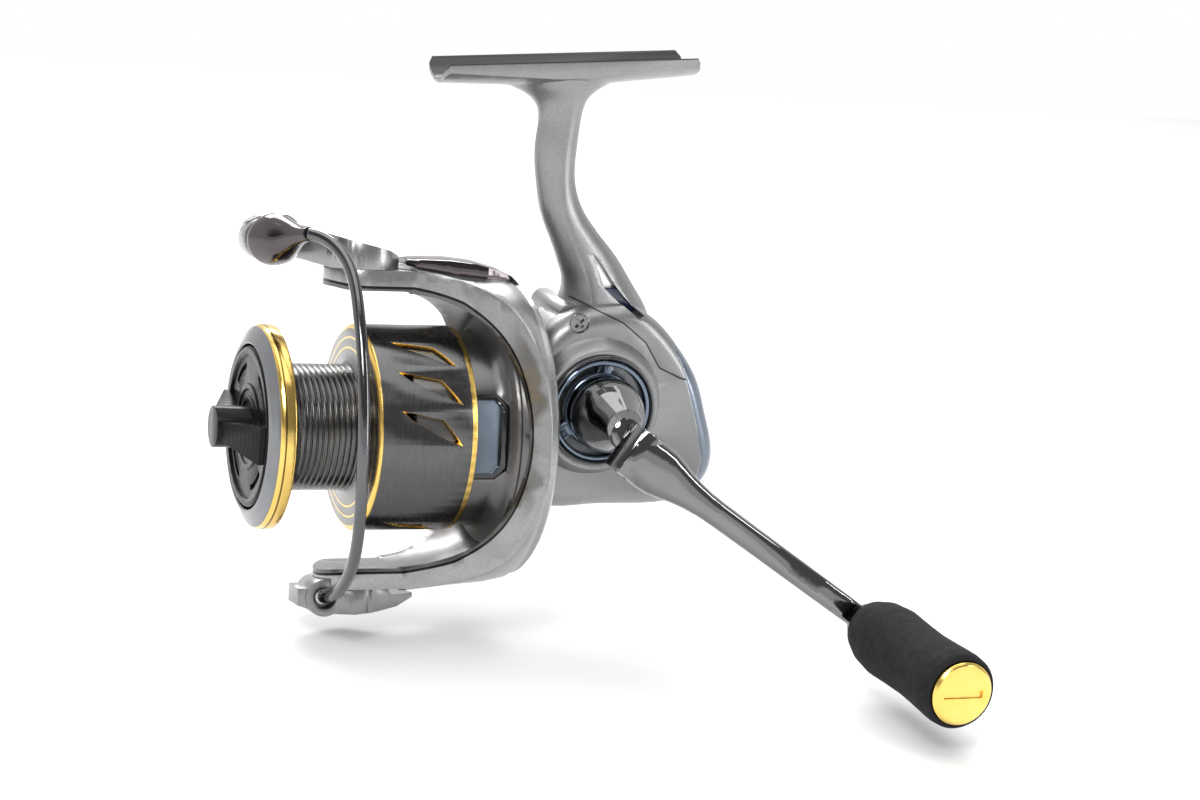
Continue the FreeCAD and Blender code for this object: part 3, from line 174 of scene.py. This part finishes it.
# ---------------------------------------------------------------- plain finishes
def flaked_metal(name, dark, light, roughness, metallic=0.85, flake=0.5, coat=0.35):
    """Metallic paint with fine flakes under a thin clear coat."""
    p = Paint(name)
    cloud = p.noise(60, 2)
    grain = p.noise(5200, 1)
    shade = p.blend(cloud, dark, light)
    sparkle = p.ramp(grain, 0.58, 0.75, 0.0, flake)
    bright = tuple(min(1.0, c * 1.5) for c in light)
    p.set(color=p.blend(sparkle, shade, bright), metallic=metallic, coat=coat, coat_roughness=0.12,
          roughness=p.between(p.noise(900, 2), roughness - 0.05, roughness + 0.07))
    p.bump(grain, 0.10, 0.00004)
    return p.material


def polished(name, dark, light, roughness, metallic=1.0, brush=None, coat=0.0):
    """Plated or turned metal; brush stretches fine marks along an axis."""
    p = Paint(name)
    marks = p.noise(1400, 3, brush or (1, 1, 1))
    p.set(color=p.blend(p.noise(80, 2), dark, light), metallic=metallic, coat=coat,
          roughness=p.between(marks, roughness * 0.7, roughness * 1.4))
    p.bump(marks, 0.05 if brush else 0.02, 0.00003)
    return p.material


def moulded(name, dark, light, roughness, coat=0.0, grain=2600, relief=0.12):
    """Plastic with a fine moulded grain."""
    p = Paint(name)
    fine = p.noise(grain, 3)
    p.set(color=p.blend(p.noise(120, 3), dark, light), metallic=0.0, coat=coat,
          roughness=p.between(fine, roughness - 0.05, roughness + 0.08))
    p.bump(fine, relief, 0.00005)
    return p.material


def foam(name):
    """Closed-cell foam: matte, with pores and a soft mottle."""
    p = Paint(name)
    cells = p.node("ShaderNodeTexVoronoi", Vector=p.coord, Scale=1900.0).outputs["Distance"]
    mottle = p.noise(420, 4)
    pits = p.math("ADD", p.math("MULTIPLY", cells, 0.5), mottle)
    p.set(color=p.blend(mottle, (0.005, 0.005, 0.006), (0.024, 0.0245, 0.027)),
          roughness=p.between(cells, 0.78, 0.95), specular=0.18)
    p.bump(pits, 0.55, 0.00018)
    return p.material


# ---------------------------------------------------------------- zoned finishes
SILVER_DARK, SILVER_LIGHT = (0.21, 0.213, 0.216), (0.31, 0.313, 0.316)
BLACK = (0.008, 0.008, 0.010)
GOLD = (0.86, 0.58, 0.16)

# Joint of the side cover in mm: x, and height before the origin is moved up by SEAM_LIFT.
SEAM_LIFT, SEAM_HALF_WIDTH = 1.79, 0.14
SEAM_DEPTH = 3.0                    # the line shows only on the crank side of this depth
COVER_SEAM = [(-2, -54.6), (2.8, -56.2), (7.2, -57.5), (14.7, -60.5), (20.4, -64.8), (24.3, -70.4),
              (29.4, -72.6), (33.0, -73.4), (38.0, -73.4)]

# Rotor zones in mm: the bowl's edge climbs from its mouth to the arms.
BOWL_EDGE_X, ARM_ROOT_X, ARM_X = -9.4, -20.0, -30.0
BOWL_EDGE_R, ARM_ROOT_R, ARM_CLIMB = 25.4, 28.8, 1.4
GUNMETAL_RISE, LINE_WIDTH = 0.95, 0.5
PANE_DEPTH = 18.65

# Spool zones in mm: places along X, and distances from the spool's axis.
LIP_BEVEL_X = -61.6
LIP_LINE_X = (-60.75, -60.45)
FLANGE_FACE_X, FLANGE_FACE_R = (-42.4, -40.95), 13.8
FLANGE_RINGS_R, RING_HALF_WIDTH = (17.0, 19.2), 0.15
FLANGE_EDGE_X, SKIRT_TAIL_X, SKIRT_EDGE_R = (-41.2, -40.1), (-20.5, -19.0), 21.0
PORT_X, PORT_R = (-38.0, -21.4), (21.36, 22.02)

DRAG_KNOB_RINGS, CAP_RINGS = 5200.0, 26000.0    # radians of ripple per metre of radius


def body_finish(name):
    """Silver paint with the dark joint of the side cover; the rod seat of the foot is near black."""
    p = Paint(name)
    grain = p.noise(5200, 1)
    shade = p.blend(p.noise(60, 2), SILVER_DARK, SILVER_LIGHT)
    silver = p.blend(p.ramp(grain, 0.58, 0.75, 0.0, 0.5), shade, (0.52, 0.525, 0.53))
    along = p.math("MULTIPLY", p.xyz[2], math.cos(SEAT_TILT))
    across = p.math("MULTIPLY", p.xyz[0], math.sin(SEAT_TILT))
    height = p.math("SUBTRACT", along, across)
    seat = p.length(p.xyz[1], height)
    trough = p.ramp(seat, (SEAT_R + 0.05) * MM, (SEAT_R + 0.25) * MM, 1.0, 0.0)
    seam = p.near_path([(x, z + SEAM_LIFT) for x, z in COVER_SEAM], SEAM_HALF_WIDTH)
    dark = p.math("MAXIMUM", trough, seam)
    p.set(color=p.blend(dark, silver, BLACK), metallic=p.between(dark, 0.85, 0.0), coat=0.2,
          coat_roughness=0.12, roughness=p.between(p.noise(900, 2), 0.30, 0.44))
    p.bump(grain, 0.10, 0.00004)
    return p.material


def rotor_finish():
    """Bright grained band along the outer flanks, a thin black line, then dark gunmetal."""
    p = Paint("rotor_two_tone")
    grain = p.noise(2600, 3)
    x = p.math("MULTIPLY", p.xyz[0], 1.0 / MM)
    r = p.math("MULTIPLY", p.spool_radius(), 1.0 / MM)
    bowl_edge = p.run(x, BOWL_EDGE_X, ARM_ROOT_X, BOWL_EDGE_R, ARM_ROOT_R)
    bowl_edge = p.math("ADD", bowl_edge, p.run(x, ARM_ROOT_X, ARM_X, 0.0, ARM_CLIMB))
    above = p.math("SUBTRACT", r, bowl_edge)
    inner = p.ramp(above, GUNMETAL_RISE - 0.1, GUNMETAL_RISE, 1.0, 0.0)
    line = p.band(above, GUNMETAL_RISE, GUNMETAL_RISE + LINE_WIDTH, 0.08)
    silver = p.blend(grain, (0.25, 0.253, 0.256), (0.46, 0.465, 0.47))
    gun = p.blend(p.noise(90, 2), (0.10, 0.098, 0.098), (0.18, 0.175, 0.172))
    color = p.blend(line, p.blend(inner, silver, gun), BLACK)
    p.set(color=color, metallic=0.9, roughness=p.between(grain, 0.24, 0.40), coat=0.25, coat_roughness=0.1)
    p.bump(grain, 0.35, 0.00006)
    return p.material


def spool_finish():
    """Turned gunmetal with gold edges, rings and port chamfers."""
    p = Paint("spool_turned")
    x = p.math("MULTIPLY", p.xyz[0], 1.0 / MM)
    r = p.math("MULTIPLY", p.spool_radius(), 1.0 / MM)
    brush = p.noise(300, 3, (14.0, 1.0, 1.0))
    turned = p.blend(brush, (0.085, 0.085, 0.087), (0.15, 0.148, 0.146))
    lip = p.blend(p.noise(90, 2), (0.17, 0.176, 0.184), (0.25, 0.257, 0.266))
    face = p.blend(p.noise(500, 2), (0.16, 0.155, 0.15), (0.24, 0.235, 0.23))
    on_lip = p.ramp(x, LIP_BEVEL_X - 0.15, LIP_BEVEL_X, 1.0, 0.0)
    on_face = p.math("MULTIPLY", p.band(x, *FLANGE_FACE_X, 0.05),
                     p.ramp(r, FLANGE_FACE_R, FLANGE_FACE_R + 0.4))
    rings = p.math("ADD", *[p.band(r, ring - RING_HALF_WIDTH, ring + RING_HALF_WIDTH, 0.06)
                            for ring in FLANGE_RINGS_R])
    edge = p.math("MULTIPLY", p.band(x, *FLANGE_EDGE_X, 0.05), p.ramp(r, SKIRT_EDGE_R, SKIRT_EDGE_R + 0.2))
    tail = p.math("MULTIPLY", p.band(x, *SKIRT_TAIL_X, 0.05), p.ramp(r, SKIRT_EDGE_R, SKIRT_EDGE_R + 0.1))
    chamfer = p.math("MULTIPLY", p.band(x, *PORT_X, 0.05), p.band(r, *PORT_R, 0.03))
    color = p.blend(on_lip, turned, lip)
    color = p.blend(on_face, color, face)
    color = p.blend(p.math("MULTIPLY", on_face, rings), color, GOLD)
    color = p.blend(p.math("MAXIMUM", p.math("MAXIMUM", edge, tail), chamfer), color, GOLD)
    p.set(color=color, metallic=1.0, roughness=p.between(brush, 0.20, 0.32), anisotropic=0.4)
    p.bump(brush, 0.04, 0.00003)
    return p.material


def lip_ring_finish():
    """Gold with one dark line turned round it."""
    p = Paint("lip_gold")
    x = p.math("MULTIPLY", p.xyz[0], 1.0 / MM)
    line = p.band(x, *LIP_LINE_X, 0.06)
    brush = p.noise(300, 3, (14.0, 1.0, 1.0))
    p.set(color=p.blend(line, p.blend(brush, (0.74, 0.49, 0.12), (0.88, 0.62, 0.20)), (0.16, 0.10, 0.03)),
          metallic=1.0, roughness=p.between(brush, 0.14, 0.26))
    p.bump(brush, 0.08, 0.00003)
    return p.material


def insert_finish():
    """Gloss black frame round a blue-grey pane."""
    p = Paint("rotor_window")
    y = p.math("MULTIPLY", p.xyz[1], math.cos(ROTOR_LEAN) / MM)
    z = p.math("MULTIPLY", p.math("SUBTRACT", p.xyz[2], SPOOL_Z), math.sin(ROTOR_LEAN) / MM)
    depth = p.math("ABSOLUTE", p.math("SUBTRACT", y, z))
    pane = p.ramp(depth, PANE_DEPTH, PANE_DEPTH + 0.15, 1.0, 0.0)
    tint = p.blend(p.noise(150, 2), (0.09, 0.125, 0.165), (0.17, 0.215, 0.265))
    p.set(color=p.blend(pane, BLACK, tint), metallic=p.between(pane, 0.0, 0.7), roughness=0.14, coat=0.7)
    p.bump(p.noise(1800, 2), 0.02, 0.00003)
    return p.material


def drag_knob_finish():
    """Black plastic with shallow rings round the knob's axis."""
    p = Paint("drag_knob_black")
    wave = p.node("ShaderNodeTexNoise", Vector=p.coord, Scale=1500.0).outputs[0]
    rings = p.math("SINE", p.math("MULTIPLY", p.spool_radius(), DRAG_KNOB_RINGS))
    p.set(color=p.blend(p.noise(200, 2), (0.0025, 0.0025, 0.003), (0.007, 0.007, 0.008)),
          roughness=p.between(wave, 0.20, 0.30), specular=0.14)
    p.bump(rings, 0.10, 0.00008)
    return p.material


def knob_cap_finish():
    """Gold with concentric turning marks."""
    p = Paint("gold_turned")
    rings = p.math("SINE", p.math("MULTIPLY", p.knob_radius(), CAP_RINGS))
    p.set(color=p.blend(p.noise(300, 2), (0.86, 0.58, 0.12), (0.95, 0.70, 0.22)), metallic=1.0,
          roughness=p.between(p.noise(700, 2), 0.18, 0.30))
    p.bump(rings, 0.10, 0.00003)
    return p.material


# ---------------------------------------------------------------- dress the CAD nodes
def dress(material, *names, bevel=0.12, smooth=38):
    """Give CAD nodes a finish, joined faces and softened edges."""
    for name in names:
        piece = NODES[name]
        piece.data.materials.clear()
        piece.data.materials.append(material)
        for polygon in piece.data.polygons:
            polygon.use_smooth = True
        weld = piece.modifiers.new("weld", "WELD")
        weld.merge_threshold = 0.000002
        if bevel:
            soft = piece.modifiers.new("bevel", "BEVEL")
            soft.width = bevel * MM
            soft.segments = 2
            soft.limit_method = "ANGLE"
            soft.angle_limit = math.radians(smooth)
            soft.harden_normals = True
            soft.use_clamp_overlap = True
        else:
            split = piece.modifiers.new("split", "EDGE_SPLIT")
            split.split_angle = math.radians(smooth)


def dress_outside():
    """Finishes of the pieces that show."""
    # Bail arm and holder share one silver. The upper lever gets a lighter copy (painted light from above)
    # and the lower holder a darker copy (painted shade).
    lever = flaked_metal("lever_silver", (0.24, 0.244, 0.247), (0.35, 0.354, 0.357), 0.28)
    holder = flaked_metal("holder_silver_painted_shade", (0.20, 0.204, 0.207), (0.30, 0.304, 0.307), 0.34)
    rear = flaked_metal("rear_blue_grey", (0.10, 0.125, 0.165), (0.17, 0.20, 0.25), 0.22, 0.6, 0.3, 0.8)
    insert = moulded("insert_blue", (0.006, 0.010, 0.035), (0.015, 0.022, 0.07), 0.15, 0.8, relief=0.02)
    dark_chrome = polished("dark_chrome", (0.17, 0.17, 0.175), (0.24, 0.24, 0.245), 0.07)
    violet = polished("violet_chrome", (0.075, 0.068, 0.072), (0.14, 0.12, 0.12), 0.09)
    gloss = moulded("black_gloss", (0.010, 0.010, 0.012), (0.022, 0.022, 0.026), 0.16, coat=0.8,
                    relief=0.02)
    dress(body_finish("body_silver"), "body_frame", bevel=0.35)
    dress(body_finish("cover_silver"), "side_cover", bevel=0.35)
    # lighter silver on the upper lever is painted light; darker silver on the lower holder is painted shade
    dress(lever, "bail_arm", bevel=0.3)
    dress(holder, "bail_holder", bevel=0.12, smooth=30)
    dress(rear, "rear_cover")
    dress(insert, "leg_insert")
    dress(rotor_finish(), "rotor", bevel=0.25)
    dress(spool_finish(), "spool", bevel=0.08)
    dress(lip_ring_finish(), "spool_lip_ring")
    dress(drag_knob_finish(), "drag_knob", bevel=0.2)
    dress(knob_cap_finish(), "knob_cap", bevel=0.2)
    dress(foam("eva_foam"), "knob_grip", bevel=0.5)
    dress(dark_chrome, "crank_arm", "crank_hub", bevel=0.3)
    dress(gloss, "boss_ring", "far_cap", "knob_collar")
    dress(insert_finish(), "rotor_inserts")
    dress(polished("blue_chrome", (0.10, 0.13, 0.17), (0.20, 0.24, 0.30), 0.10), "bearing_cap")
    dress(violet, "arm_cover", "bail_cone", bevel=0.2)
    dress(polished("wire_steel", (0.10, 0.102, 0.106), (0.17, 0.173, 0.178), 0.12), "bail_wire")
    dress(polished("roller_plated", (0.34, 0.35, 0.37), (0.46, 0.47, 0.50), 0.14), "line_roller", bevel=0.1)


def dress_works():
    """Finishes of the gears, bearings, screws and other working pieces."""
    steel = polished("bright_steel", (0.46, 0.46, 0.47), (0.60, 0.60, 0.61), 0.18, brush=(6, 1, 1))
    screws = polished("screw_steel", (0.16, 0.16, 0.165), (0.26, 0.26, 0.265), 0.22)
    nylon = moulded("black_nylon", (0.016, 0.016, 0.018), (0.035, 0.035, 0.038), 0.5)
    brass = polished("brass", (0.55, 0.40, 0.18), (0.70, 0.52, 0.26), 0.25)
    zinc = polished("cast_zinc", (0.36, 0.37, 0.38), (0.48, 0.49, 0.50), 0.35)
    felt = moulded("felt", (0.02, 0.02, 0.022), (0.06, 0.06, 0.065), 0.9, grain=1500, relief=0.6)
    dress(nylon, "stopper_lever", "one_way_clutch", "pinion_bush", "click_gear", "spool_bush",
          "spool_seat", "roller_bush", "knob_sleeve", bevel=0.05)
    dress(brass, "pinion", "drag_nut", bevel=0)
    dress(zinc, "drive_gear", "oscillation_gear", "slider", bevel=0)
    dress(screws, "case_screws", "pivot_screws", bevel=0.05)
    dress(steel, "rear_cover_screw", "handle_bearing", "far_bearing", "pinion_bearing", "guide_rods",
          "main_shaft", "hinge_pin", "knob_post", "knob_bearings", "drag_plates", "drag_clip",
          "drag_spring", "bail_spring", "bail_spring_guide", "rotor_nut", "bail_wire_screw",
          "roller_screw", bevel=0.05)
    dress(felt, "drag_washers", bevel=0)
    dress(moulded("white_shim", (0.70, 0.70, 0.68), (0.80, 0.80, 0.78), 0.4), "spool_shims", bevel=0)


# ---------------------------------------------------------------- studio
CAMERA_AT = Vector((-0.2110, -0.5401, 0.0620))
CAMERA_RIGHT = Vector((0.9261, -0.3631, 0.1027))
CAMERA_UP = Vector((-0.0070, 0.2556, 0.9668))
CAMERA_BACK = Vector((-0.3773, -0.8960, 0.2342))
LENS_MM, SENSOR_MM = 81.73, 36.0
FRONT_GREY = 0.24                   # strength of the world in its upper front
GREY_ZONE = ((1, -0.25, 0.30, 1.0, 0.0), (2, 0.09, 0.20, 0.0, 1.0))     # axis, from, to, share at each
LIT_POINT = Vector((0.0, 0.0, -0.07))
FLOOR_HALF, FLOOR_GAP = 0.9, 0.004


def build_camera():
    data = bpy.data.cameras.new("camera")
    data.lens = LENS_MM
    data.sensor_width = SENSOR_MM
    data.clip_start = 0.01
    camera = bpy.data.objects.new("camera", data)
    bpy.context.scene.collection.objects.link(camera)
    turn = Matrix((CAMERA_RIGHT, CAMERA_UP, CAMERA_BACK)).transposed()
    camera.matrix_world = Matrix.Translation(CAMERA_AT) @ turn.to_4x4()
    bpy.context.scene.camera = camera


def area_light(name, at, size, power):
    data = bpy.data.lights.new(name, "AREA")
    data.shape = "RECTANGLE"
    data.size, data.size_y = size
    data.energy = power
    light = bpy.data.objects.new(name, data)
    bpy.context.scene.collection.objects.link(light)
    light.location = at
    light.rotation_mode = "QUATERNION"
    light.rotation_quaternion = (LIT_POINT - Vector(at)).to_track_quat("-Z", "Y")


def build_world():
    """White surroundings; only the upper front is grey, which gives the metal its contrast."""
    world = bpy.data.worlds.new("studio")
    world.use_nodes = True
    tree = world.node_tree
    parts = tree.nodes.new("ShaderNodeSeparateXYZ")
    tree.links.new(tree.nodes.new("ShaderNodeTexCoord").outputs["Generated"], parts.inputs[0])
    shares = []
    for axis, low, high, at_low, at_high in GREY_ZONE:
        share = tree.nodes.new("ShaderNodeMapRange")
        share.interpolation_type = "SMOOTHSTEP"
        for key, number in (("From Min", low), ("From Max", high), ("To Min", at_low), ("To Max", at_high)):
            share.inputs[key].default_value = number
        tree.links.new(parts.outputs[axis], share.inputs["Value"])
        shares.append(share.outputs[0])
    grey = tree.nodes.new("ShaderNodeMath")
    grey.operation = "MULTIPLY"
    tree.links.new(shares[0], grey.inputs[0])
    tree.links.new(shares[1], grey.inputs[1])
    strength = tree.nodes.new("ShaderNodeMapRange")
    strength.inputs["To Min"].default_value = 1.0
    strength.inputs["To Max"].default_value = FRONT_GREY
    tree.links.new(grey.outputs[0], strength.inputs["Value"])
    tree.links.new(strength.outputs[0], tree.nodes["Background"].inputs[1])
    tree.nodes["Background"].inputs[0].default_value = (1.0, 1.0, 1.0, 1.0)
    bpy.context.scene.world = world


def build_stage():
    mesh = bpy.data.meshes.new("floor")
    half, level = FLOOR_HALF, cad_lo.z - FLOOR_GAP
    corners = [(-half, -half, level), (half, -half, level), (half, half, level), (-half, half, level)]
    mesh.from_pydata(corners, [], [(0, 1, 2, 3)])
    floor = bpy.data.objects.new("floor", mesh)
    bpy.context.scene.collection.objects.link(floor)
    p = Paint("pale_floor")
    p.set(color=p.blend(p.noise(3, 2), (0.86, 0.86, 0.86), (0.90, 0.90, 0.90)), roughness=0.7, specular=0.2)
    mesh.materials.append(p.material)
    build_world()
    area_light("key", (-0.55, -0.75, 0.75), (0.45, 0.45), 8.0)
    area_light("strip", (0.75, -0.55, 0.10), (0.16, 0.9), 3.5)
    area_light("rim", (0.10, 0.80, 0.55), (0.7, 0.3), 7.0)
    area_light("top", (0.0, 0.0, 1.6), (1.6, 1.6), 14.0)
    bpy.context.scene.view_settings.view_transform = "Standard"


dress_outside()
dress_works()
build_camera()
build_stage()
